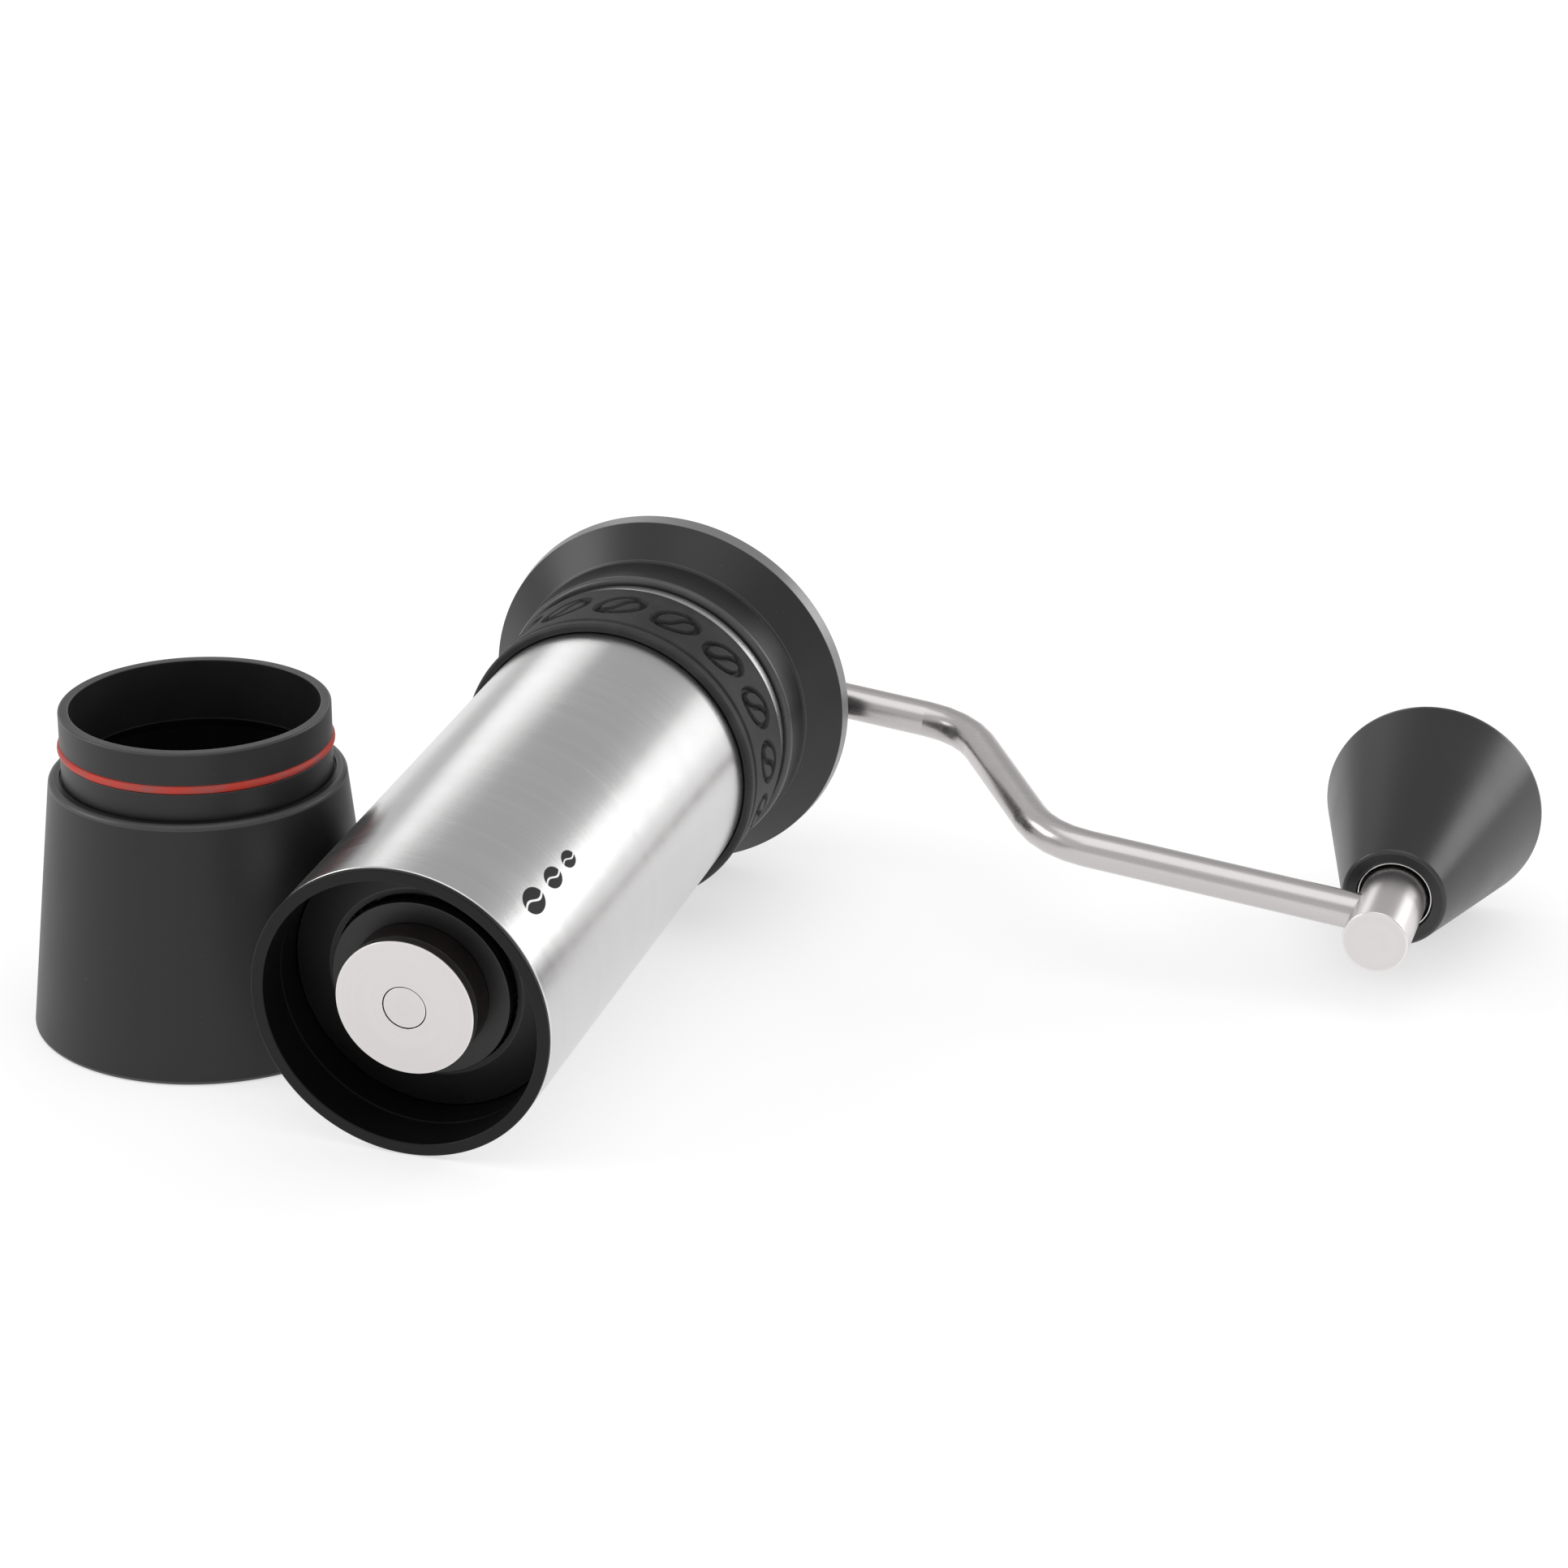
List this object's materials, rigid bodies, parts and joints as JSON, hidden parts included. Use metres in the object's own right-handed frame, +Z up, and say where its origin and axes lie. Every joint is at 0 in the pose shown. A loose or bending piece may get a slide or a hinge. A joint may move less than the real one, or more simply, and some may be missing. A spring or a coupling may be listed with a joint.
{
  "type": "hand crank coffee grinder",
  "caption": "Hand crank coffee grinder: steel tube with conical burrs, side crank with a cone knob, and a separate catch cup.",
  "frame": {"origin": "on the table under the middle of the whole set's box", "axes": "+Z up from the table; +X along the grinder from its open bottom end to its crank end; the crank reaches towards -Y and the cup stands on the +Y side"},
  "size_m": [0.1856, 0.2826, 0.0793],
  "materials": {
    "tube_steel": "fine satin brushing round the tube",
    "polished_steel": "satin, light turning marks",
    "burr_steel": "hardened dark steel, ground edges",
    "bearing_steel": "ground bright",
    "spring_steel": "drawn wire",
    "spacer_dark": "dark oxide, satin",
    "carrier_black": "black anodised, matte",
    "bridge_alloy": "machined",
    "dial_alloy": "machined, satin",
    "bronze": "turned bronze",
    "body_black": "satin black",
    "cup_black": "matte black",
    "knob_black": "matte black",
    "grip_rubber": "matte rubber with pressed marks",
    "seal_rubber": "matte",
    "oring_red": "satin red rubber",
    "bush_polymer": "natural bearing polymer"
  },
  "bodies": {
    "housing": {"body_tube": "tube_steel", "bottom_liner": "body_black", "burr_carrier": "carrier_black", "burr_clamp_ring": "polished_steel", "outer_burr": "burr_steel", "burr_screw_1": "polished_steel", "burr_screw_2": "polished_steel", "burr_screw_3": "polished_steel", "lower_bridge": "bridge_alloy", "upper_bridge": "bridge_alloy", "lower_bearing": "bearing_steel", "upper_bearing": "bearing_steel", "preload_spring": "spring_steel", "grip_band": "grip_rubber", "hopper_collar": "body_black", "threaded_sleeve": "polished_steel", "index_ring": "dial_alloy", "detent_ball": "bearing_steel", "detent_spring": "spring_steel"},
    "lid": {"lid": "body_black", "lid_seal": "seal_rubber"},
    "carriage": {"thrust_washer": "bronze"},
    "dial": {"adjusting_dial": "dial_alloy"},
    "crank": {"spindle": "polished_steel", "end_disc": "polished_steel", "burr_spacer": "spacer_dark", "inner_burr": "burr_steel", "crank_hub": "polished_steel", "crank_arm": "polished_steel", "cap_nut": "polished_steel", "knob_boss": "polished_steel", "knob_pin": "polished_steel", "knob_retainer": "polished_steel"},
    "knob": {"knob_shell": "knob_black", "knob_bush_lower": "bush_polymer", "knob_bush_upper": "bush_polymer", "knob_cap": "knob_black"},
    "cup": {"catch_cup": "cup_black", "cup_oring": "oring_red"}
  },
  "joints": [
    {"name": "burr_adjust", "type": "slide", "parent": "housing", "child": "carriage", "axis": [0.998, 0, 0.0633], "range_m": [-0.0004, 0.0004]},
    {"name": "dial_turn", "type": "hinge", "parent": "carriage", "child": "dial", "pos_m": [0.06279, 0.04376, 0.03969], "axis": [0.998, 0, 0.0633], "range_deg": [-180, 180]},
    {"name": "crank_spin", "type": "hinge", "parent": "carriage", "child": "crank", "pos_m": [0.07467, 0.04376, 0.04044], "axis": [0.998, 0, 0.0633], "continuous": true},
    {"name": "knob_spin", "type": "hinge", "parent": "crank", "child": "knob", "pos_m": [0.06495, -0.1183, 0.02142], "axis": [0.998, 0, 0.0633], "continuous": true},
    {"name": "lid_lift", "type": "slide", "parent": "housing", "child": "lid", "axis": [0.998, 0, 0.0633], "range_m": [0, 0.0035]},
    {"name": "cup_lift", "type": "slide", "parent": "housing", "child": "cup", "axis": [0, 0.5, 0.866], "range_m": [0, 0.09]}
  ],
  "couplings": [
    {"joint": "dial_turn", "follows": "burr_adjust", "rad_per_m": 7854}
  ]
}
